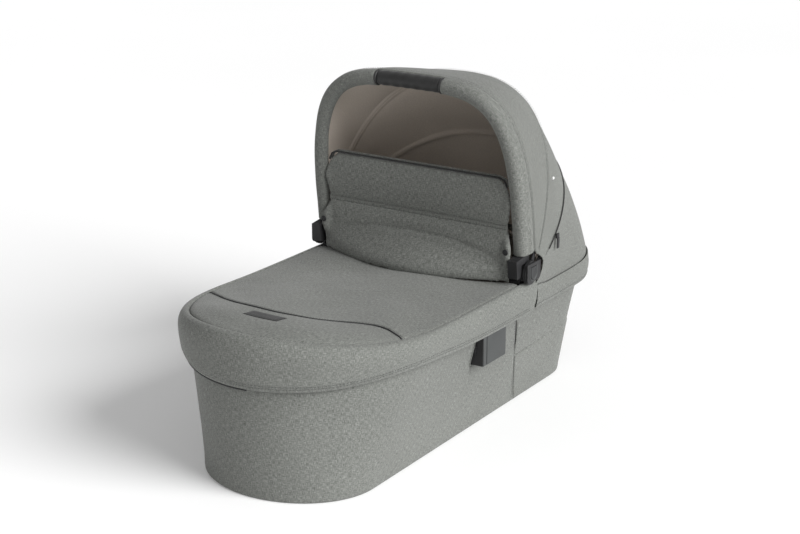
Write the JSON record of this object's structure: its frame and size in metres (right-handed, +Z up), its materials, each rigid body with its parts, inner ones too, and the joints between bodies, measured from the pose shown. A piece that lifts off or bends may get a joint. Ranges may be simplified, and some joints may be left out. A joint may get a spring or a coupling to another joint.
{
  "type": "stroller carrycot",
  "caption": "Fabric carrycot of a baby stroller with apron, fold-down wind flap, folding hood on bows, carry handle and side chassis adapters.",
  "frame": {"origin": "on the floor under the middle of the cot's box", "axes": "+Z up, +Y towards the head end along the length, +X towards the right side"},
  "size_m": [0.4662, 0.894, 0.6034],
  "materials": {
    "melange_fabric": "woven grey melange polyester",
    "lining_fabric": "taupe hood lining",
    "liner_fabric": "soft inner liner",
    "black_plastic": "moulded, fine texture",
    "grey_plastic": "moulded, fine texture",
    "rubber": "matte",
    "board": "thin plywood",
    "mattress_cover": "knitted cotton cover on foam",
    "aluminium": "drawn tube",
    "steel": "plated",
    "leatherette": "grained leatherette",
    "black_trim": "black piping, zip tape and labels"
  },
  "bodies": {
    "root": {"pad_foot_left": "rubber", "pad_foot_right": "rubber", "pad_head_left": "rubber", "pad_head_right": "rubber", "base_tray": "black_plastic", "side_frame_left": "black_plastic", "side_frame_right": "black_plastic", "hinge_housing_left": "black_plastic", "hinge_housing_right": "black_plastic", "floor_board": "board", "inner_liner": "liner_fabric", "mattress": "mattress_cover", "body_fabric_foot": "melange_fabric", "body_fabric_head": "melange_fabric", "apron_skirt": "melange_fabric", "rear_band": "melange_fabric", "apron_top": "melange_fabric", "apron_foot": "melange_fabric", "rim_tube": "aluminium", "stay_foot_left": "steel", "stay_foot_right": "steel", "stay_head_left": "steel", "stay_head_right": "steel", "hinge_pin_left": "steel", "hinge_pin_right": "steel", "adapter_left": "grey_plastic", "adapter_right": "grey_plastic", "foot_zip": "black_trim", "apron_patch": "black_trim"},
    "rear_bow": {"rear_bow_bar": "black_plastic", "hood_rear": "melange_fabric", "lining_rear": "lining_fabric", "hood_zip": "black_trim"},
    "middle_bow": {"middle_bow_bar": "black_plastic", "hood_middle": "melange_fabric", "lining_middle": "lining_fabric"},
    "front_bow": {"front_bow_tube": "aluminium", "hinge_arm_left": "black_plastic", "hinge_arm_right": "black_plastic", "bow_sleeve_left": "melange_fabric", "bow_sleeve_right": "melange_fabric", "carry_handle": "leatherette", "handle_collar_left": "black_trim", "handle_collar_right": "black_trim", "hood_front": "melange_fabric", "lining_front": "lining_fabric"},
    "flap_lower": {"flap_lower": "melange_fabric", "flap_snap_left": "black_trim", "flap_snap_right": "black_trim"},
    "flap_upper": {"flap_upper": "melange_fabric", "flap_piping": "black_trim"},
    "button_left": {"hinge_button_left": "grey_plastic"},
    "button_right": {"hinge_button_right": "grey_plastic"},
    "latch_left": {"adapter_latch_left": "black_plastic"},
    "latch_right": {"adapter_latch_right": "black_plastic"},
    "zip_pull": {"hood_zip_pull": "black_plastic"}
  },
  "joints": [
    {"name": "rear_bow_fold", "type": "hinge", "parent": "root", "child": "rear_bow", "pos_m": [0, 0.11, 0.273], "axis": [-1, 0, 0], "range_deg": [0, 20], "deforming": ["hood_rear", "lining_rear"]},
    {"name": "middle_bow_fold", "type": "hinge", "parent": "rear_bow", "child": "middle_bow", "pos_m": [0, 0.11, 0.273], "axis": [-1, 0, 0], "range_deg": [0, 20], "deforming": ["hood_middle", "lining_middle"]},
    {"name": "front_bow_fold", "type": "hinge", "parent": "middle_bow", "child": "front_bow", "pos_m": [0, 0.11, 0.273], "axis": [-1, 0, 0], "range_deg": [0, 20], "deforming": ["hood_front", "lining_front"]},
    {"name": "flap_lower_lean", "type": "hinge", "parent": "root", "child": "flap_lower", "pos_m": [0, 0.024, 0.262], "axis": [1, 0, 0], "range_deg": [0, 30]},
    {"name": "flap_upper_fold", "type": "hinge", "parent": "flap_lower", "child": "flap_upper", "pos_m": [0, 0.09, 0.352], "axis": [1, 0, 0], "range_deg": [0, 150]},
    {"name": "zip_pull_swing", "type": "hinge", "parent": "rear_bow", "child": "zip_pull", "pos_m": [0.2314, 0.19, 0.322], "axis": [0, -1, 0], "range_deg": [0, 75]},
    {"name": "button_left_press", "type": "slide", "parent": "root", "child": "button_left", "axis": [1, 0, 0], "range_m": [0, 0.003], "stiffness_N_per_m": 900, "springref_m": -0.001},
    {"name": "latch_left_slide", "type": "slide", "parent": "root", "child": "latch_left", "axis": [0, 1, 0], "range_m": [0, 0.0015], "stiffness_N_per_m": 500, "springref_m": -0.0005},
    {"name": "button_right_press", "type": "slide", "parent": "root", "child": "button_right", "axis": [-1, 0, 0], "range_m": [0, 0.003], "stiffness_N_per_m": 900, "springref_m": -0.001},
    {"name": "latch_right_slide", "type": "slide", "parent": "root", "child": "latch_right", "axis": [0, 1, 0], "range_m": [0, 0.0015], "stiffness_N_per_m": 500, "springref_m": -0.0005}
  ],
  "couplings": [
    {"joint": "middle_bow_fold", "follows": "rear_bow_fold", "ratio": 1},
    {"joint": "front_bow_fold", "follows": "rear_bow_fold", "ratio": 1}
  ]
}
